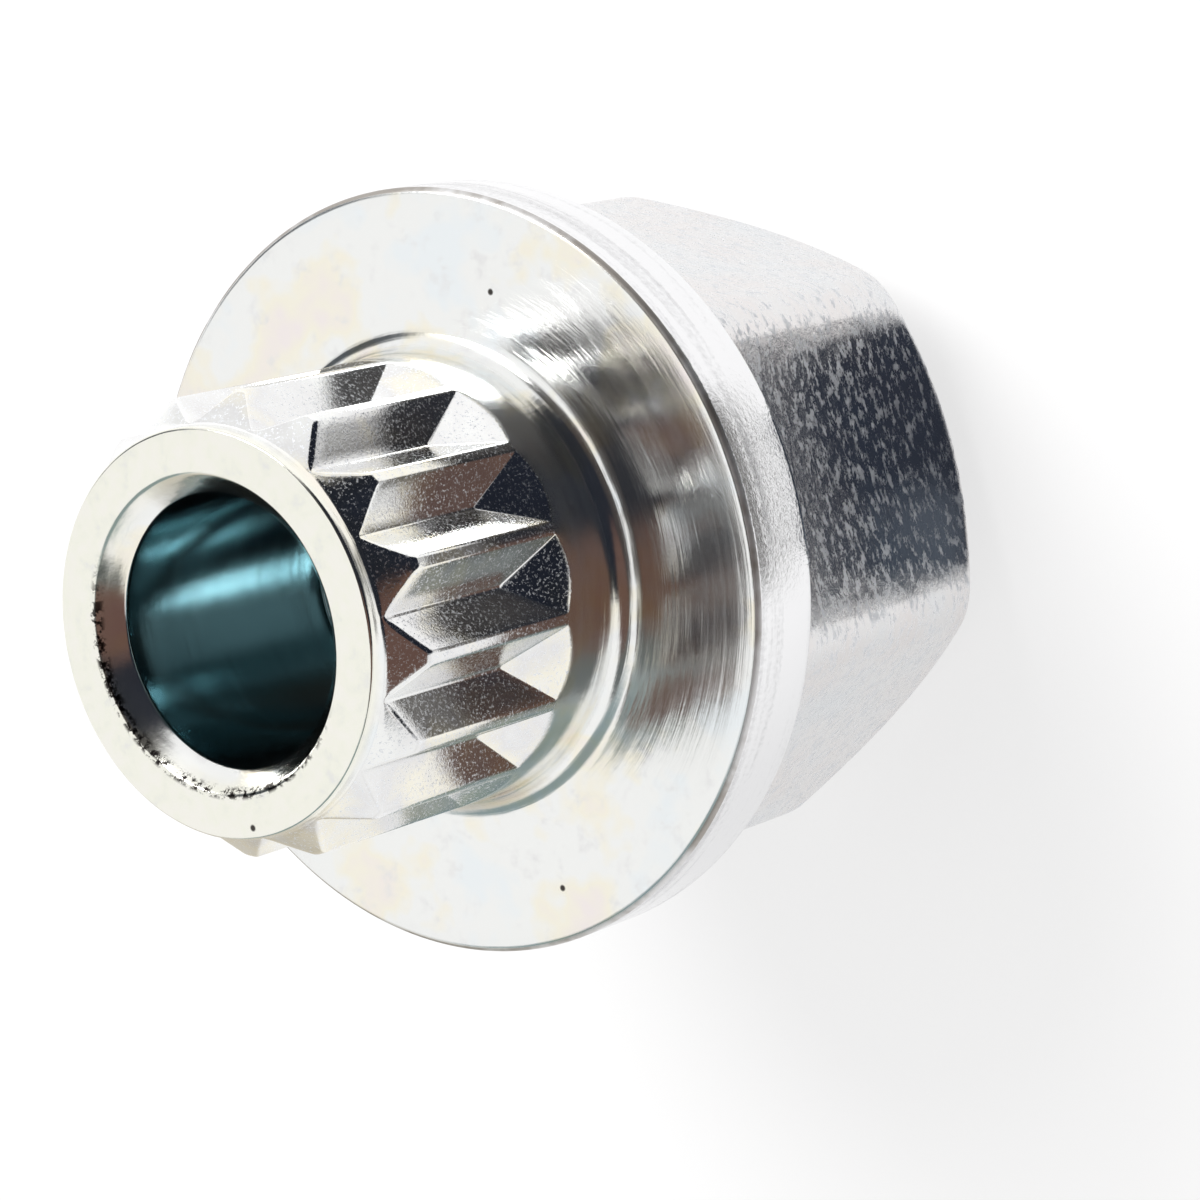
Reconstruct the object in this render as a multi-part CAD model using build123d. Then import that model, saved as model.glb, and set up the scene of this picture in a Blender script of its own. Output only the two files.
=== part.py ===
"""Key for a locking wheel nut, forged and turned from one piece of steel.

A wheel brace turns the hexagon, and the splined nose fits into the recess of the locking nut.
The key stands on the end of its hexagon, with +Z along its axis towards the nose.
The origin is the middle of the end face of the hexagon. Lengths are millimetres.
"""
from build123d import *

import os
from math import asin, cos, pi, radians, sin, tan

# Hexagon that the wheel brace turns
HEX_ACROSS_FLATS = 19.0
HEX_LENGTH = 13.6
HEX_EDGE_RADIUS = 1.65
HEX_END_INSET = 1.4
HEX_END_CHAMFER_DEG = 45.0
HEX_ROOT_CHAMFER = 0.4

# Flange that stops the wheel brace and seats on the nut
FLANGE_DIAMETER = 24.0
FLANGE_THICKNESS = 3.0
FLANGE_FRONT_CHAMFER = 0.15
FLANGE_REAR_RADIUS = 0.4

# Plain collar between the flange and the splines
COLLAR_LENGTH = 2.3
COLLAR_BASE_RADIUS = 0.8

# Splines of the nose, with V grooves that run out in a sloping end wall
SPLINE_COUNT = 16
SPLINE_LENGTH = 7.55
SPLINE_HEIGHT = 0.875
SPLINE_CREST_LAND = 0.35
SPLINE_ROOT_RADIUS = 0.15
SPLINE_END_WALL_LENGTH = 2.35
SPLINE_FRONT_CHAMFER_DEG = 45.0

# Plain pilot ring at the end of the nose
PILOT_DIAMETER = 12.15
PILOT_LENGTH = 0.55
PILOT_EDGE_CHAMFER = 0.1
PILOT_TO_ROOT_STEP = 0.05

# Blind bore with a flat floor
BORE_DIAMETER = 8.1
BORE_DEPTH = 9.35
BORE_CHAMFER = 0.7

# How far a cutter reaches past the material that it takes away
CUT_OVERRUN = 1.0

# Radii
hex_flat_radius = HEX_ACROSS_FLATS / 2
hex_corner_radius = hex_flat_radius / cos(pi / 6)
hex_rounded_radius = hex_corner_radius - HEX_EDGE_RADIUS / cos(pi / 6) + HEX_EDGE_RADIUS
flange_radius = FLANGE_DIAMETER / 2
pilot_radius = PILOT_DIAMETER / 2
root_radius = pilot_radius + PILOT_TO_ROOT_STEP
crest_radius = root_radius + SPLINE_HEIGHT
bore_radius = BORE_DIAMETER / 2

# The ledge beside the hexagon has room for the chamfer of its root and the rounding of the flange
flange_ledge = flange_radius - hex_rounded_radius
hex_root_chamfer = min(HEX_ROOT_CHAMFER, flange_ledge / 3)
flange_rear_radius = min(FLANGE_REAR_RADIUS, flange_ledge / 2)

# Heights along the axis
flange_rear_z = HEX_LENGTH
flange_face_z = flange_rear_z + FLANGE_THICKNESS
collar_top_z = flange_face_z + COLLAR_LENGTH
shoulder_z = collar_top_z + SPLINE_LENGTH
nose_z = shoulder_z + PILOT_LENGTH
bore_floor_z = nose_z - BORE_DEPTH
front_chamfer_length = (crest_radius - pilot_radius) / tan(radians(SPLINE_FRONT_CHAMFER_DEG))


def corner(sketch, x, y):
    """The vertex of a sketch nearest to a point."""
    return sketch.vertices().sort_by_distance((x, y, 0))[0]


def turned_body():
    """Flange, collar, blank of the splines and pilot ring, turned round the axis."""
    section = Polygon(
        (0, flange_rear_z),
        (flange_radius, flange_rear_z),
        (flange_radius, flange_face_z),
        (crest_radius, flange_face_z),
        (crest_radius, shoulder_z - front_chamfer_length),
        (pilot_radius, shoulder_z),
        (pilot_radius, nose_z),
        (0, nose_z),
        align=None,
    )
    section = fillet(corner(section, flange_radius, flange_rear_z), flange_rear_radius)
    section = chamfer(corner(section, flange_radius, flange_face_z), FLANGE_FRONT_CHAMFER)
    section = fillet(corner(section, crest_radius, flange_face_z), COLLAR_BASE_RADIUS)
    section = chamfer(corner(section, pilot_radius, nose_z), PILOT_EDGE_CHAMFER)
    return revolve(Plane.XZ * section, Axis.Z)


def hexagon():
    """Hexagon with rounded edges, its end chamfered all round, with one corner on +X."""
    outline = RegularPolygon(hex_corner_radius, 6)
    outline = fillet(outline.vertices(), HEX_EDGE_RADIUS)
    end_radius = hex_flat_radius - HEX_END_INSET
    slope = tan(radians(HEX_END_CHAMFER_DEG))
    wide_radius = hex_corner_radius + CUT_OVERRUN
    envelope = Polygon(
        (0, 0),
        (end_radius, 0),
        (wide_radius, (wide_radius - end_radius) * slope),
        (wide_radius, flange_rear_z),
        (0, flange_rear_z),
        align=None,
    )
    return extrude(outline, HEX_LENGTH) & revolve(Plane.XZ * envelope, Axis.Z)


def groove_cutter():
    """Cutter of the groove on +X: a V with a rounded root, ended by a sloping wall."""
    groove_half_angle = pi / SPLINE_COUNT - asin(SPLINE_CREST_LAND / 2 / crest_radius)
    crest_x = crest_radius * cos(groove_half_angle)
    crest_y = crest_radius * sin(groove_half_angle)
    outer_x = crest_radius + CUT_OVERRUN
    outer_y = crest_y * (outer_x - root_radius) / (crest_x - root_radius)
    section = Polygon((root_radius, 0), (outer_x, -outer_y), (outer_x, outer_y), align=None)
    section = fillet(corner(section, root_radius, 0), SPLINE_ROOT_RADIUS)
    v_prism = extrude(Pos(0, 0, flange_face_z) * section, nose_z - flange_face_z + CUT_OVERRUN)

    wall_slope = SPLINE_END_WALL_LENGTH / SPLINE_HEIGHT
    inner_x = root_radius - CUT_OVERRUN
    side = Polygon(
        (inner_x, collar_top_z + (crest_radius - inner_x) * wall_slope),
        (outer_x, collar_top_z + (crest_radius - outer_x) * wall_slope),
        (outer_x, nose_z + CUT_OVERRUN),
        (inner_x, nose_z + CUT_OVERRUN),
        align=None,
    )
    return v_prism & extrude(Plane.XZ * side, outer_y + CUT_OVERRUN, both=True)


def bore_cutter():
    """Cutter of the blind bore, with a flat floor and a chamfered mouth."""
    mouth_radius = bore_radius + BORE_CHAMFER
    section = Polygon(
        (0, bore_floor_z),
        (bore_radius, bore_floor_z),
        (bore_radius, nose_z - BORE_CHAMFER),
        (mouth_radius + CUT_OVERRUN, nose_z + CUT_OVERRUN),
        (0, nose_z + CUT_OVERRUN),
        align=None,
    )
    return revolve(Plane.XZ * section, Axis.Z)


def wheel_nut_key():
    """The whole key as one solid."""
    body = turned_body() + hexagon()
    flange_rear_edges = body.edges().filter_by_position(Axis.Z, flange_rear_z, flange_rear_z)
    # The longest edge there is the round edge of the flange, and the others are the hexagon's root
    hex_root = flange_rear_edges.sort_by(SortBy.LENGTH)[:-1]
    body = chamfer(hex_root, hex_root_chamfer)
    body -= PolarLocations(0, SPLINE_COUNT) * groove_cutter()
    body -= bore_cutter()
    return body


key = wheel_nut_key()
key.label = "wheel_nut_key"
os.makedirs("parts", exist_ok=True)
export_step(key, "parts/wheel_nut_key.step")
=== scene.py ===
"""Looks of the locking wheel nut key: bright zinc plate on steel, seen as in the photograph.

The key stands on the end of its hexagon, with its nose up. Lengths are millimetres, and the
mesh is written in metres.
"""
from math import asin, cos, pi, radians, sin, tan

import bpy
import numpy as np
from mathutils import Matrix, Vector


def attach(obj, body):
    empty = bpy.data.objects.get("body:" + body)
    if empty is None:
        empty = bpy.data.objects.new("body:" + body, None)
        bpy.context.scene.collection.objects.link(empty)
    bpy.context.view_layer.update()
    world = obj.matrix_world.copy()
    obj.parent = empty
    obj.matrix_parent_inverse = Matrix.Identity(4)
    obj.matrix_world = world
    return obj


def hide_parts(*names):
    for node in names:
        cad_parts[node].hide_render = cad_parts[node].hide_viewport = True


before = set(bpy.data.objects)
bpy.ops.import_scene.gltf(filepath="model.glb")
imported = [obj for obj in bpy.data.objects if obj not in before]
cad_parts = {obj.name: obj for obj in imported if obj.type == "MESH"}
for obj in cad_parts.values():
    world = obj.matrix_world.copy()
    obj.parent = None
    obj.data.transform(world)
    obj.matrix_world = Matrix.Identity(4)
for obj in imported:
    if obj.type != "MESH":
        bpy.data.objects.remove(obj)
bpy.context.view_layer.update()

NODE = "wheel_nut_key"
MM = 0.001

# Sizes of the part, as its source has them. The flange's radius is 0.01 mm smaller, so that the
# mesh stays inside the source's box, and the pilot ring's edge is rounded, not chamfered.
HEX_ACROSS_FLATS = 19.0
HEX_EDGE_RADIUS = 1.65
HEX_END_INSET = 1.4
HEX_ROOT_CHAMFER = 0.4
FLANGE_REAR_Z = 13.6
FLANGE_FACE_Z = 16.6
FLANGE_RADIUS = 11.99
FLANGE_FRONT_CHAMFER = 0.15
FLANGE_REAR_RADIUS = 0.4
COLLAR_TOP_Z = 18.9
COLLAR_BASE_RADIUS = 0.8
SPLINE_COUNT = 16
CREST_RADIUS = 7.0
CREST_LAND = 0.35
ROOT_RADIUS = 6.125
ROOT_ROUNDING = 0.15
END_WALL_LENGTH = 2.35
SHOULDER_Z = 26.45
NOSE_Z = 27.0
PILOT_RADIUS = 6.075
PILOT_EDGE = 0.1
BORE_RADIUS = 4.05
BORE_FLOOR_Z = 17.65
BORE_CHAMFER = 0.7

# Angles and slope of the splines' grooves
SPLINE_PITCH = 2 * pi / SPLINE_COUNT
GROOVE_HALF_ANGLE = SPLINE_PITCH / 2 - asin(CREST_LAND / 2 / CREST_RADIUS)
END_WALL_SLOPE = END_WALL_LENGTH / (CREST_RADIUS - ROOT_RADIUS)

# Small roundings that the plating leaves on every edge, as the distance from the edge, and the
# largest share of a side that a rounding takes
EDGE_BREAK = 0.1
TOOTH_BREAK = 0.16
HEX_END_BREAK = 0.35
CORNER_SHARE = 0.45

# Steps of the mesh on a flank of a groove, round its corners and on the end of the hexagon
FLANK_STEPS = 5
GROOVE_CORNER_STEPS = 4
END_FACE_STEPS = 5

# Columns of the mesh on a rounded edge of the hexagon, and the least angle between two columns
HEX_EDGE_COLUMNS = 11
HEX_EDGE_HALF_ANGLE = radians(4.6)
LEAST_COLUMN_ANGLE = radians(0.12)


def round_corner(before, at, after, setback, steps):
    """Points of a circular arc round a corner, which leaves both sides at the setback."""
    reach_in = np.linalg.norm(before - at, axis=-1, keepdims=True)
    reach_out = np.linalg.norm(after - at, axis=-1, keepdims=True)
    setback = np.minimum(setback, CORNER_SHARE * np.minimum(reach_in, reach_out))
    towards = (before - at) / reach_in
    away = (after - at) / reach_out
    start = at + towards * setback
    end = at + away * setback
    weight = np.linalg.norm(towards - away, axis=-1, keepdims=True) / 2
    t = np.linspace(0, 1, steps + 1).reshape(-1, *[1] * at.ndim)
    first, middle, last = (1 - t) ** 2, 2 * t * (1 - t) * weight, t**2
    return (first * start + middle * at + last * end) / (first + middle + last)


def between(first, last, steps):
    """Points that divide the way from one point to another into steps, without its two ends."""
    share = np.linspace(0, 1, steps + 1)[1:-1].reshape(-1, *[1] * last.ndim)
    return first * (1 - share) + last * share


def hexagon_radius(angle, flat_radius, edge_radius):
    """Distance from the axis to a hexagon with rounded edges, one of them at angle 0."""
    corner_radius = flat_radius / cos(pi / 6)
    edge_centre = corner_radius - edge_radius / cos(pi / 6)
    tangent = np.arctan2(edge_radius * sin(pi / 6), edge_centre + edge_radius * cos(pi / 6))
    folded = np.abs((angle + pi / 6) % (pi / 3) - pi / 6)
    flat = flat_radius / np.cos(pi / 6 - folded)
    inside = np.maximum(edge_radius**2 - (edge_centre * np.sin(folded)) ** 2, 0)
    rounded = edge_centre * np.cos(folded) + np.sqrt(inside)
    return np.where(folded < tangent, rounded, flat)


def groove_outline():
    """One pitch of the splines' section, from the middle of a crest to the middle of the next."""
    crest_x = CREST_RADIUS * cos(GROOVE_HALF_ANGLE)
    crest_y = CREST_RADIUS * sin(GROOVE_HALF_ANGLE)
    middle = CREST_RADIUS * cos(SPLINE_PITCH / 2), CREST_RADIUS * sin(SPLINE_PITCH / 2)
    corners = np.array([
        (middle[0], -middle[1]),
        (crest_x, -crest_y),
        (ROOT_RADIUS, 0),
        (crest_x, crest_y),
        middle,
    ])
    half_opening = np.arctan2(crest_y, crest_x - ROOT_RADIUS)
    root_setback = ROOT_ROUNDING * tan((pi - 2 * half_opening) / 2)
    points = [corners[:1]]
    for i, setback in ((1, TOOTH_BREAK), (2, root_setback), (3, TOOTH_BREAK)):
        arc = round_corner(*corners[i - 1:i + 2], setback, GROOVE_CORNER_STEPS)
        if i > 1:
            points.append(between(points[-1][-1], arc[0], FLANK_STEPS))
        points.append(arc)
    points.append(corners[-1:])
    return np.concatenate(points)


def column_angles(outline):
    """Angles of the mesh's columns, which follow the splines and the edges of the hexagon."""
    groove = np.arctan2(outline[:-1, 1], outline[:-1, 0])
    splines = np.concatenate([groove + i * SPLINE_PITCH for i in range(SPLINE_COUNT)])
    edge = HEX_EDGE_HALF_ANGLE * np.linspace(-1, 1, HEX_EDGE_COLUMNS)
    edges = np.concatenate([edge + i * pi / 3 for i in range(6)])
    angles = np.sort(np.concatenate([splines, edges]) % (2 * pi))
    apart = np.diff(angles, append=angles[0] + 2 * pi) > LEAST_COLUMN_ANGLE
    return angles[apart]


def meridians(angle, outline):
    """The key's profile at each angle, from the hexagon's end to the bore's floor, with zones."""
    folded = (angle + SPLINE_PITCH / 2) % SPLINE_PITCH - SPLINE_PITCH / 2
    groove_angle = np.arctan2(outline[:, 1], outline[:, 0])
    groove = np.interp(folded, groove_angle, np.hypot(outline[:, 0], outline[:, 1]))
    groove = np.minimum(groove, CREST_RADIUS)
    hexagon = hexagon_radius(angle, HEX_ACROSS_FLATS / 2, HEX_EDGE_RADIUS)
    hexagon_root = hexagon_radius(
        angle, HEX_ACROSS_FLATS / 2 + HEX_ROOT_CHAMFER, HEX_EDGE_RADIUS + HEX_ROOT_CHAMFER
    )
    end_radius = HEX_ACROSS_FLATS / 2 - HEX_END_INSET
    wall_angle = np.minimum(np.abs(folded), GROOVE_HALF_ANGLE)
    wall_top = COLLAR_TOP_Z + CREST_RADIUS * (1 - np.cos(wall_angle)) * END_WALL_SLOPE
    wall_foot = COLLAR_TOP_Z + (CREST_RADIUS - groove * np.cos(folded)) * END_WALL_SLOPE
    wall_foot = np.maximum(wall_foot, wall_top + EDGE_BREAK)

    # Radius, height, setback and steps of each corner, and the steps to the next one
    corners = [
        (end_radius, 0, EDGE_BREAK, 3, 2),
        (hexagon, hexagon - end_radius, HEX_END_BREAK, 5, 10),
        (hexagon, FLANGE_REAR_Z - HEX_ROOT_CHAMFER, EDGE_BREAK, 2, 1),
        (hexagon_root, FLANGE_REAR_Z, EDGE_BREAK, 2, 2),
        (FLANGE_RADIUS, FLANGE_REAR_Z, FLANGE_REAR_RADIUS, 10, 4),
        (FLANGE_RADIUS, FLANGE_FACE_Z - FLANGE_FRONT_CHAMFER, EDGE_BREAK, 3, 1),
        (FLANGE_RADIUS - FLANGE_FRONT_CHAMFER, FLANGE_FACE_Z, EDGE_BREAK, 3, 8),
        (CREST_RADIUS, FLANGE_FACE_Z, COLLAR_BASE_RADIUS, 10, 4),
        (CREST_RADIUS, wall_top, TOOTH_BREAK, 4, 6),
        (groove, wall_foot, EDGE_BREAK, 3, 12),
        (groove, SHOULDER_Z - (groove - PILOT_RADIUS), TOOTH_BREAK, 4, 4),
        (PILOT_RADIUS, SHOULDER_Z, EDGE_BREAK, 3, 2),
        (PILOT_RADIUS, NOSE_Z, PILOT_EDGE, 4, 5),
        (BORE_RADIUS + BORE_CHAMFER, NOSE_Z, EDGE_BREAK, 3, 3),
        (BORE_RADIUS, NOSE_Z - BORE_CHAMFER, EDGE_BREAK, 3, 16),
        (BORE_RADIUS, BORE_FLOOR_Z, EDGE_BREAK, 3, 6),
    ]
    spread = np.ones_like(angle)
    start = np.stack([0 * spread, 0 * spread], -1)
    end = np.stack([0 * spread, BORE_FLOOR_Z * spread], -1)
    places = [start]
    places += [np.stack([radius * spread, height * spread], -1) for radius, height, *_ in corners]
    places += [end]

    rows, zones = [], []
    previous, steps = start, END_FACE_STEPS
    for zone, (_, _, setback, arc_steps, next_steps) in enumerate(corners):
        before, at, after = places[zone:zone + 3]
        arc = round_corner(before, at, after, setback, arc_steps)
        rows += [between(previous, arc[0], steps), arc]
        half_arc = arc_steps // 2
        zones += [zone] * (steps - 1 + half_arc) + [zone + 1] * (arc_steps + 1 - half_arc)
        previous, steps = arc[-1], next_steps
    rows.append(between(previous, end, steps))
    zones += [len(corners)] * (steps - 1)
    return np.concatenate(rows), zones


def key_mesh():
    """The key as one closed mesh of rings round the axis, and the zone of each face."""
    outline = groove_outline()
    angle = column_angles(outline)
    rows, zones = meridians(angle, outline)
    count, columns = rows.shape[:2]
    radius, height = rows[..., 0], rows[..., 1]
    rings = np.stack([radius * np.cos(angle), radius * np.sin(angle), height], -1)
    middles = [(0, 0, 0), (0, 0, BORE_FLOOR_Z)]
    vertices = np.concatenate([rings.reshape(-1, 3), middles]) * MM
    end_middle, floor_middle = count * columns, count * columns + 1

    here = np.arange(columns)
    turn = (here + 1) % columns
    faces = [(end_middle, turn[j], j) for j in here]
    face_zone = [zones[0]] * columns
    for i in range(count - 1):
        low, high = i * columns, (i + 1) * columns
        faces += list(zip(low + here, low + turn, high + turn, high + here))
        face_zone += [zones[i]] * columns
    last = (count - 1) * columns
    faces += [(last + j, last + turn[j], floor_middle) for j in here]
    face_zone += [zones[-1]] * columns

    mesh = bpy.data.meshes.new(NODE)
    mesh.from_pydata(vertices.tolist(), [], [[int(v) for v in face] for face in faces])
    return mesh, np.array(face_zone)


class Nodes:
    """Short names for the shader nodes that the materials and the world use."""

    def __init__(self, tree):
        self.tree = tree

    def add(self, kind, inputs=(), **settings):
        node = self.tree.nodes.new(kind)
        for name, value in settings.items():
            setattr(node, name, value)
        for socket, value in dict(inputs).items():
            if isinstance(value, bpy.types.NodeSocket):
                self.tree.links.new(value, node.inputs[socket])
            else:
                node.inputs[socket].default_value = value
        return node

    def math(self, operation, first, second=0.0, third=0.0):
        inputs = {0: first, 1: second, 2: third}
        return self.add("ShaderNodeMath", inputs, operation=operation).outputs[0]

    def product(self, first, *others):
        for other in others:
            first = self.math("MULTIPLY", first, other)
        return first

    def distance(self, first, second):
        inputs = {0: first, 1: second}
        return self.add("ShaderNodeVectorMath", inputs, operation="DISTANCE").outputs["Value"]

    def dot(self, vector, direction):
        inputs = {0: vector, 1: direction}
        return self.add("ShaderNodeVectorMath", inputs, operation="DOT_PRODUCT").outputs["Value"]

    def scale(self, vector, factors):
        inputs = {0: vector, 1: factors}
        return self.add("ShaderNodeVectorMath", inputs, operation="MULTIPLY").outputs["Vector"]

    def combine(self, x, y, z):
        return self.add("ShaderNodeCombineXYZ", {0: x, 1: y, 2: z}).outputs[0]

    def smooth(self, value, low, high):
        """From 0 to 1, smoothly, as the value goes from low to high."""
        inputs = {"Value": value, "From Min": low, "From Max": high}
        node = self.add("ShaderNodeMapRange", inputs, interpolation_type="SMOOTHSTEP")
        return node.outputs["Result"]

    def span(self, value, low, high):
        """The value, from 0 to 1, spread from low to high."""
        inputs = {"Value": value, "To Min": low, "To Max": high}
        return self.add("ShaderNodeMapRange", inputs).outputs["Result"]

    def noise(self, vector, scale, detail=3.0, roughness=0.55):
        inputs = {"Vector": vector, "Scale": scale, "Detail": detail, "Roughness": roughness}
        return self.add("ShaderNodeTexNoise", inputs).outputs["Fac"]

    def mix(self, factor, first, second, blend="MIX"):
        inputs = {"Factor": factor, 6: first, 7: second}
        node = self.add("ShaderNodeMix", inputs, data_type="RGBA", blend_type=blend)
        return node.outputs[2]

    def ramp(self, value, stops):
        node = self.add("ShaderNodeValToRGB", {"Fac": value})
        elements = node.color_ramp.elements
        while len(elements) < len(stops):
            elements.new(0.5)
        for element, (place, colour) in zip(elements, stops):
            element.position = place
            element.color = colour
        return node.outputs["Color"]


def blank_material(name):
    """A material with an empty node tree."""
    made = bpy.data.materials.new(name)
    made.use_nodes = True
    made.node_tree.nodes.clear()
    return made


# Colours of the plating, whose thin clear film gives faint tints
SILVER = (0.88, 0.885, 0.87, 1)
STRAW = (0.90, 0.865, 0.75, 1)
ICE = (0.84, 0.875, 0.89, 1)
BLUSH = (0.88, 0.82, 0.80, 1)
SATIN = (0.78, 0.775, 0.775, 1)
COOL_GREY = (0.74, 0.765, 0.785, 1)
WARM_GREY = (0.78, 0.75, 0.74, 1)
PALE_GREY = (0.84, 0.855, 0.88, 1)
BRIGHT = (0.88, 0.88, 0.89, 1)
FROST = (0.90, 0.92, 0.95, 1)
# Painted shade for the front edge of the flange
EDGE_SHADE_GREY = (0.42, 0.39, 0.36, 1)
DULL = (0.66, 0.66, 0.67, 1)
CREAM = (0.90, 0.885, 0.82, 1)
LIME = (0.88, 0.88, 0.78, 1)
DEEP_TEAL = (0.25, 0.345, 0.365, 1)
PALE_TEAL = (0.47, 0.58, 0.60, 1)
PIT = (0.06, 0.055, 0.05, 1)
STAIN = (0.035, 0.03, 0.028, 1)

# Pits that the photograph shows, on the flange and on the ring of the nose
PITS = [(6.42, -8.14, FLANGE_FACE_Z), (0.29, 9.22, FLANGE_FACE_Z), (2.49, -5.15, NOSE_Z)]
PIT_RADIUS = 0.13

# Directions of the stage: right and up in the photograph, and the key's nose
PHOTO_RIGHT = Vector((0.948, 0.319, 0))
PHOTO_UP = Vector((-0.319, 0.948, 0))
NOSE = Vector((0, 0, 1))


def round_axis(azimuth):
    """Direction across the axis, at an angle from the photograph's right towards its top."""
    return PHOTO_RIGHT * cos(radians(azimuth)) + PHOTO_UP * sin(radians(azimuth))


def place_in_mm(nodes):
    """The shaded point, in the object's own frame."""
    place = nodes.add("ShaderNodeTexCoord").outputs["Object"]
    return nodes.scale(place, (1 / MM, 1 / MM, 1 / MM))


def radius_of(nodes, place):
    """Distance of a place from the key's axis."""
    flat = nodes.scale(place, (1, 1, 0))
    return nodes.add("ShaderNodeVectorMath", {0: flat}, operation="LENGTH").outputs["Value"]


def height_of(nodes, place):
    """Height of a place along the key's axis."""
    return nodes.add("ShaderNodeSeparateXYZ", {0: place}).outputs[2]


# How far the turned place moves in one radian round the axis, and in one millimetre of height
RING_DRIFT = 0.35
RING_PITCH = -0.62


def turned_place(nodes, place):
    """Place whose noise runs in rings: a small circle for the angle, and radius with height."""
    radius = radius_of(nodes, place)
    axes = nodes.add("ShaderNodeSeparateXYZ", {0: place}).outputs
    drift = nodes.math("DIVIDE", RING_DRIFT, radius)
    circle = [nodes.math("MULTIPLY", axis, drift) for axis in axes[:2]]
    return nodes.combine(*circle, nodes.math("MULTIPLY_ADD", axes[2], RING_PITCH, radius))


def tinted(nodes, place, stops):
    """Plating whose tint drifts slowly over the part."""
    return nodes.ramp(nodes.noise(place, scale=0.28, detail=3.0, roughness=0.6), stops)


def pitted(nodes, place, colour):
    """The colour, with the dark pits."""
    for pit in PITS:
        away = nodes.distance(place, pit)
        colour = nodes.mix(nodes.smooth(away, PIT_RADIUS, PIT_RADIUS / 2), colour, PIT)
    return colour


# Worn arc round the mouth of the bore: its middle, where it fades and ends on both sides, its
# distance from the edge of the mouth and its width
WEAR_AZIMUTH = -118.0
WEAR_FULL = 66.0
WEAR_END = 96.0
WEAR_INSET = 0.05
WEAR_RADIUS = BORE_RADIUS + BORE_CHAMFER - WEAR_INSET
WEAR_WIDTH = 0.22


def worn_mouth(nodes, place, colour):
    """Dark specks along the edge of the bore's mouth, where the plating is worn through."""
    radius = radius_of(nodes, place)
    off_edge = nodes.math("ABSOLUTE", nodes.math("SUBTRACT", radius, WEAR_RADIUS))
    on_edge = nodes.smooth(off_edge, WEAR_WIDTH, WEAR_WIDTH / 3)
    height = height_of(nodes, place)
    on_nose = nodes.smooth(height, NOSE_Z - BORE_CHAMFER, NOSE_Z - BORE_CHAMFER / 2)
    facing = nodes.math("DIVIDE", nodes.dot(place, tuple(round_axis(WEAR_AZIMUTH))), radius)
    on_arc = nodes.smooth(facing, cos(radians(WEAR_END)), cos(radians(WEAR_FULL)))
    specks = nodes.smooth(nodes.noise(place, scale=3.6, detail=4.0, roughness=0.7), 0.47, 0.56)
    return nodes.mix(nodes.product(on_edge, on_nose, on_arc, specks), colour, STAIN)


def finish_metal(material, nodes, colour, roughness, height, depth):
    """The material as metal, with a bump of the given height field and depth."""
    bump = nodes.add("ShaderNodeBump", {"Strength": 1.0, "Distance": depth * MM, "Height": height})
    inputs = {
        "Base Color": colour,
        "Metallic": 1.0,
        "Roughness": roughness,
        "Normal": bump.outputs[0],
    }
    shader = nodes.add("ShaderNodeBsdfPrincipled", inputs)
    nodes.add("ShaderNodeOutputMaterial", {"Surface": shader.outputs[0]})
    return material


def forged_zinc():
    """Hexagon: forged faces, bright between dull dents that lie across its length."""
    material = blank_material("zinc_forged")
    nodes = Nodes(material.node_tree)
    place = place_in_mm(nodes)
    across = nodes.scale(place, (2.1, 2.1, 4.2))
    dents = nodes.noise(across, scale=1.0, detail=5.0, roughness=0.75)
    waves = nodes.noise(place, scale=0.6, detail=2.0)
    flecks = nodes.smooth(dents, 0.46, 0.65)
    tints = [(0.30, COOL_GREY), (0.45, SATIN), (0.60, WARM_GREY), (0.72, SATIN)]
    colour = nodes.mix(flecks, tinted(nodes, place, tints), PALE_GREY)
    height = nodes.math("ADD", dents, nodes.math("MULTIPLY", waves, 2.0))
    roughness = nodes.span(flecks, 0.08, 0.68)
    return finish_metal(material, nodes, colour, roughness, height, depth=0.02)


# Radius at which the collar's fillet meets the face of the flange
COLLAR_END = CREST_RADIUS + COLLAR_BASE_RADIUS


def turned_zinc():
    """Flange, collar and ring of the nose: fine rings left by the lathe."""
    material = blank_material("zinc_turned")
    nodes = Nodes(material.node_tree)
    place = place_in_mm(nodes)
    rings = nodes.noise(turned_place(nodes, place), scale=2.6, detail=4.0, roughness=0.65)
    clouds = nodes.noise(place, scale=1.3, detail=4.0, roughness=0.6)
    tints = [(0.32, ICE), (0.42, SILVER), (0.50, SILVER), (0.58, STRAW), (0.70, BLUSH)]
    colour = tinted(nodes, place, tints)
    on_nose = nodes.smooth(height_of(nodes, place), SHOULDER_Z, NOSE_Z)
    nose_colour = nodes.mix(nodes.smooth(clouds, 0.35, 0.65), CREAM, LIME)
    colour = nodes.mix(on_nose, colour, nose_colour)
    colour = nodes.mix(nodes.smooth(clouds, 0.52, 0.85), colour, SATIN)
    colour = worn_mouth(nodes, place, pitted(nodes, place, colour))
    height = nodes.math("ADD", rings, nodes.math("MULTIPLY", clouds, 0.5))
    on_flange = nodes.smooth(radius_of(nodes, place), COLLAR_END, FLANGE_RADIUS)
    roughness = nodes.math("MULTIPLY_ADD", on_flange, 0.06, nodes.span(rings, 0.06, 0.24))
    return finish_metal(material, nodes, colour, roughness, height, depth=0.014)


def edge_zinc():
    """Front edge of the flange, a darker grey in patches: painted shade, a dark outline along the
    edge.
    """
    material = blank_material("zinc_edge")
    nodes = Nodes(material.node_tree)
    place = place_in_mm(nodes)
    patches = nodes.noise(place, scale=0.35, detail=4.0, roughness=0.6)
    colour = nodes.mix(nodes.smooth(patches, 0.42, 0.62), EDGE_SHADE_GREY, SATIN)
    roughness = nodes.span(patches, 0.40, 0.60)
    return finish_metal(material, nodes, colour, roughness, patches, depth=0.01)


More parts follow.
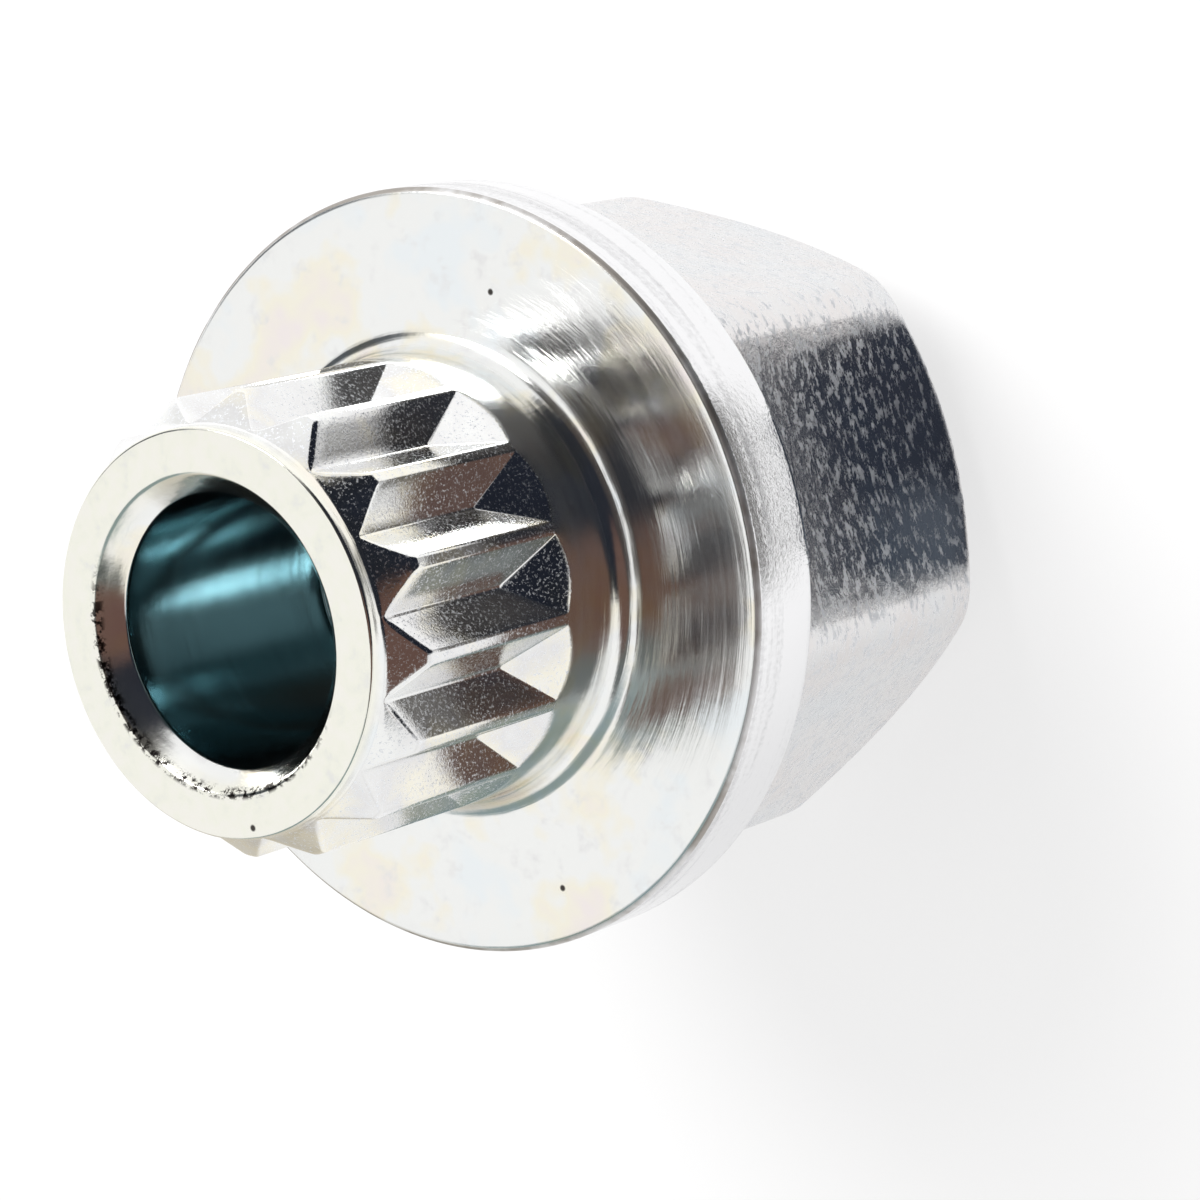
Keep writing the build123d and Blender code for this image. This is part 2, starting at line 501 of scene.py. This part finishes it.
def rim_zinc():
    """Rim of the flange: satin, with dull streaks that run round it."""
    material = blank_material("zinc_rim")
    nodes = Nodes(material.node_tree)
    place = place_in_mm(nodes)
    streaks = nodes.noise(turned_place(nodes, place), scale=1.5, detail=4.0, roughness=0.6)
    grain = nodes.noise(place, scale=6.0, detail=3.0, roughness=0.65)
    worn = nodes.math("MULTIPLY_ADD", streaks, 0.8, nodes.math("MULTIPLY", grain, 0.2))
    worn = nodes.smooth(worn, 0.46, 0.64)
    colour = nodes.mix(worn, BRIGHT, DULL)
    roughness = nodes.span(worn, 0.12, 0.36)
    return finish_metal(material, nodes, colour, roughness, grain, depth=0.012)


def spline_zinc():
    """Splines: pressed faces, bright between fine dull specks."""
    material = blank_material("zinc_splines")
    nodes = Nodes(material.node_tree)
    place = place_in_mm(nodes)
    grain = nodes.noise(place, scale=11.0, detail=3.0, roughness=0.65)
    specks = nodes.smooth(grain, 0.50, 0.68)
    tints = [(0.35, SILVER), (0.5, SATIN), (0.6, STRAW), (0.7, SILVER)]
    colour = nodes.mix(specks, tinted(nodes, place, tints), FROST)
    roughness = nodes.span(specks, 0.06, 0.42)
    return finish_metal(material, nodes, colour, roughness, grain, depth=0.003)


# Side of the bore where its film is palest
PALE_AZIMUTH = -85.0


def bore_zinc():
    """Bore: the thickest and bluest film, palest on one side, and the rings of its cutter."""
    material = blank_material("zinc_bore")
    nodes = Nodes(material.node_tree)
    place = place_in_mm(nodes)
    rings = nodes.noise(turned_place(nodes, place), scale=2.2, detail=3.0)
    drift = nodes.span(nodes.noise(place, scale=0.4, detail=2.0), -1.0, 1.0)
    across = nodes.math("ADD", nodes.dot(place, tuple(round_axis(PALE_AZIMUTH))), drift)
    colour = nodes.mix(nodes.smooth(across, -BORE_RADIUS, BORE_RADIUS), DEEP_TEAL, PALE_TEAL)
    roughness = nodes.span(rings, 0.08, 0.22)
    return finish_metal(material, nodes, colour, roughness, rings, depth=0.008)


mesh, face_zone = key_mesh()
key = bpy.data.objects.new("key_body", mesh)
bpy.context.scene.collection.objects.link(key)
mesh.shade_smooth()
for make in (forged_zinc, rim_zinc, edge_zinc, turned_zinc, spline_zinc, bore_zinc):
    mesh.materials.append(make())
FORGED, RIM, EDGE, TURNED, SPLINES, BORE = range(6)
zone_material = np.array(
    [FORGED] * 4  # end face, end chamfer, sides and root chamfer of the hexagon
    + [RIM] * 2  # rear and rim of the flange
    + [EDGE]  # front chamfer of the flange
    + [TURNED] * 2  # face of the flange, and collar
    + [SPLINES] * 3  # end walls, grooves with crests, and front chamfers
    + [TURNED] * 3  # pilot ring, its face, and mouth of the bore
    + [BORE] * 2  # wall and floor of the bore
)
mesh.polygons.foreach_set("material_index", zone_material[face_zone].astype(np.int32))

normals = key.modifiers.new("face weighted normals", "WEIGHTED_NORMAL")
normals.weight = 100
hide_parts(NODE)
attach(key, "root")

# Camera at the photograph's place, which sees the key from its nose, rolled as the key lay
CAMERA_PLACE = Vector((70.772, 40.236, 109.871)) * MM
CAMERA_RIGHT = Vector((0.782, 0.152, -0.605)).normalized()
CAMERA_FORWARD = Vector((-0.539, -0.325, -0.777)).normalized()
CAMERA_LENS = 120.0
CAMERA_SENSOR = 36.0
CAMERA_CLIP = 0.005
camera_up = CAMERA_RIGHT.cross(CAMERA_FORWARD).normalized()
camera_right = CAMERA_FORWARD.cross(camera_up)
camera = bpy.data.objects.new("camera", bpy.data.cameras.new("camera"))
camera.data.lens = CAMERA_LENS
camera.data.sensor_width = CAMERA_SENSOR
camera.data.clip_start = CAMERA_CLIP
turn = Matrix((camera_right, camera_up, -CAMERA_FORWARD)).transposed().to_4x4()
camera.matrix_world = Matrix.Translation(CAMERA_PLACE) @ turn
bpy.context.scene.collection.objects.link(camera)
bpy.context.scene.camera = camera


def stage_mesh(name, corners, faces):
    """A stage object, from corners in millimetres."""
    mesh = bpy.data.meshes.new(name)
    mesh.from_pydata([Vector(corner) * MM for corner in corners], [], faces)
    made = bpy.data.objects.new(name, mesh)
    bpy.context.scene.collection.objects.link(made)
    return made


# Tones of the room, and of the painted reflections in it
WHITE = (1, 1, 1, 1)
NAVY = (0.014, 0.017, 0.026, 1)
SLATE = (0.10, 0.12, 0.15, 1)
UMBER = (0.055, 0.046, 0.044, 1)
RUST = (0.135, 0.079, 0.065, 1)
SHADE = (0.62, 0.59, 0.53, 1)
TEAL = (0.26, 0.33, 0.34, 1)
GREY_TEAL = (0.13, 0.145, 0.145, 1)
BROWN = (0.16, 0.105, 0.080, 1)
DUSK = (0.062, 0.058, 0.057, 1)
DEEP_SHADE = (0.070, 0.080, 0.090, 1)
ROOM_GREY = (0.76, 0.76, 0.76, 1)

# Painted reflections: azimuth and angle from the nose, inner and outer spread, all in degrees
PAINTED_REFLECTIONS = [
    (-128, 96, 12, 34, SHADE),
    (155, 63, 10, 18, DEEP_SHADE),
    (-100, 45, 12, 24, TEAL),
    (-122, 58, 11, 20, TEAL),
    (-48, 40, 12, 21, GREY_TEAL),
    (-32, 38, 7, 14, BROWN),
    (74, 37, 13, 25, DUSK),
    (20, 33, 24, 31, UMBER),
    (28, 76, 41, 48, NAVY),
    (-16, 50, 14, 27, RUST),
]


def room_with_painted_reflections(nodes, direction):
    """Colour of the white room in a direction, with the dark and tinted painted reflections that
    only the metal sees.
    """
    colour = WHITE
    for azimuth, from_nose, inner, outer, tone in PAINTED_REFLECTIONS:
        centre = round_axis(azimuth) * sin(radians(from_nose)) + NOSE * cos(radians(from_nose))
        share = nodes.smooth(nodes.dot(direction, centre), cos(radians(outer)), cos(radians(inner)))
        colour = nodes.mix(share, colour, tone)
    return colour


world = bpy.data.worlds.new("room")
bpy.context.scene.world = world
world.use_nodes = True
world.node_tree.nodes.clear()
nodes = Nodes(world.node_tree)
direction = nodes.add("ShaderNodeTexCoord").outputs["Generated"]
light_path = nodes.add("ShaderNodeLightPath").outputs
# The camera sees white, diffuse light a grey room, and the metal the room with its painted
# reflections
colour = nodes.mix(light_path["Is Glossy Ray"], ROOM_GREY, room_with_painted_reflections(nodes, direction))
colour = nodes.mix(light_path["Is Camera Ray"], colour, WHITE)
background = nodes.add("ShaderNodeBackground", {"Color": colour, "Strength": 1.0})
nodes.add("ShaderNodeOutputWorld", {"Surface": background.outputs[0]})

# White floor, which keeps the shadow. In the metal it shows painted reflections: the room's, as
# they are seen from the middle of the key, a dark place in front of one face of the hexagon, and a
# grey one.
FLOOR_REACH = 3000.0
FLOOR_COLOUR = (0.92, 0.915, 0.915, 1)
FLOOR_GLOW = 0.62
SEEN_FROM_Z = 20.0
# Painted dark reflection with its painted glint, and painted grey reflection, which only the metal
# sees
DARK_TONE = (0.030, 0.036, 0.052, 1)
DARK_AZIMUTH = 11.4
DARK_NEAR, DARK_FAR = 9.6, 20.5
DARK_HALF_WIDTH = 4.2
DARK_SPREAD = 0.095
DARK_SOFTNESS = 0.25
GLINT_ALONG, GLINT_ACROSS = 12.3, -3.0
GLINT_RADIUS = 2.6
HAZE_AZIMUTH = 12.0
HAZE_FULL, HAZE_END = 15.0, 26.0
HAZE_NEAR, HAZE_FAR = 24.3, 31.0
HAZE_SOFTNESS = 1.0
HAZE = (0.14, 0.135, 0.13, 1)


def dark_reflection_patch(nodes, place, colour):
    """The floor's colour with the painted dark reflection, and its paler painted glint, that one
    face of the hexagon shows.
    """
    outwards, sideways = round_axis(DARK_AZIMUTH), round_axis(DARK_AZIMUTH + 90)
    along = nodes.dot(place, tuple(outwards))
    across = nodes.math("ABSOLUTE", nodes.dot(place, tuple(sideways)))
    further = nodes.math("SUBTRACT", along, DARK_NEAR)
    half_width = nodes.math("MULTIPLY_ADD", further, DARK_SPREAD, DARK_HALF_WIDTH)
    inside = nodes.smooth(nodes.math("SUBTRACT", half_width, across), -DARK_SOFTNESS, DARK_SOFTNESS)
    begun = nodes.smooth(further, -DARK_SOFTNESS, DARK_SOFTNESS)
    ended = nodes.smooth(along, DARK_FAR + DARK_SOFTNESS, DARK_FAR - DARK_SOFTNESS)
    away = nodes.distance(place, tuple(outwards * GLINT_ALONG + sideways * GLINT_ACROSS))
    tone = nodes.mix(nodes.smooth(away, GLINT_RADIUS, GLINT_RADIUS / 3), DARK_TONE, SLATE)
    return nodes.mix(nodes.product(inside, begun, ended), colour, tone)


def grey_reflection_patch(nodes, place, colour):
    """The floor's colour with the painted grey reflection that the upper splines and the rim show.
    """
    radius = radius_of(nodes, place)
    facing = nodes.math("DIVIDE", nodes.dot(place, tuple(round_axis(HAZE_AZIMUTH))), radius)
    turned_to = nodes.smooth(facing, cos(radians(HAZE_END)), cos(radians(HAZE_FULL)))
    begun = nodes.smooth(radius, HAZE_NEAR - HAZE_SOFTNESS, HAZE_NEAR + HAZE_SOFTNESS)
    ended = nodes.smooth(radius, HAZE_FAR + HAZE_SOFTNESS, HAZE_FAR - HAZE_SOFTNESS)
    return nodes.mix(nodes.product(turned_to, begun, ended), colour, HAZE)


SQUARE = [(-1, -1), (1, -1), (1, 1), (-1, 1)]
floor_corners = [(x * FLOOR_REACH, y * FLOOR_REACH, 0) for x, y in SQUARE]
floor = stage_mesh("floor", floor_corners, [(0, 1, 2, 3)])
floor_material = blank_material("floor")
nodes = Nodes(floor_material.node_tree)
place = place_in_mm(nodes)
seen_from = {0: place, 1: tuple(NOSE * SEEN_FROM_Z)}
towards = nodes.add("ShaderNodeVectorMath", seen_from, operation="SUBTRACT").outputs["Vector"]
towards = nodes.add("ShaderNodeVectorMath", {0: towards}, operation="NORMALIZE").outputs["Vector"]
# Painted reflections, which the floor shows to the metal only
reflected = grey_reflection_patch(nodes, place, dark_reflection_patch(nodes, place, room_with_painted_reflections(nodes, towards)))
light_path = nodes.add("ShaderNodeLightPath").outputs
seen = nodes.math("MAXIMUM", light_path["Is Camera Ray"], light_path["Is Glossy Ray"])
tone = nodes.mix(light_path["Is Glossy Ray"], WHITE, reflected)
lit = nodes.add("ShaderNodeBsdfDiffuse", {"Color": nodes.mix(1.0, tone, FLOOR_COLOUR, "MULTIPLY")})
glow = nodes.add("ShaderNodeEmission", {"Color": tone, "Strength": 1.0})
glow_share = nodes.math("MULTIPLY", seen, FLOOR_GLOW)
shader = nodes.add("ShaderNodeMixShader", {0: glow_share, 1: lit.outputs[0], 2: glow.outputs[0]})
nodes.add("ShaderNodeOutputMaterial", {"Surface": shader.outputs[0]})
floor.data.materials.append(floor_material)

# Soft lights from the photograph's top: azimuth, angle from the nose, width, height, power, and
# whether the metal shows the light. The key light throws the shadow, and the strip draws the streak
# in the bore.
LIGHT_DISTANCE = 300.0
LIGHTS = [
    ("key_light", 110.0, 43.0, 200.0, 200.0, 0.5, False),
    ("strip_light", 115.0, 44.0, 160.0, 54.0, 0.24, True),
]
for name, azimuth, from_nose, width, height, power, in_metal in LIGHTS:
    light = bpy.data.objects.new(name, bpy.data.lights.new(name, "AREA"))
    light.data.shape = "ELLIPSE"
    light.data.size, light.data.size_y = width * MM, height * MM
    light.data.energy = power
    light_from = round_axis(azimuth) * sin(radians(from_nose)) + NOSE * cos(radians(from_nose))
    wide = round_axis(azimuth + 90)
    turn = Matrix((wide, light_from.cross(wide), light_from)).transposed().to_4x4()
    light.matrix_world = Matrix.Translation(light_from * LIGHT_DISTANCE * MM) @ turn
    light.visible_glossy = in_metal
    bpy.context.scene.collection.objects.link(light)

bpy.context.scene.view_settings.view_transform = "Standard"
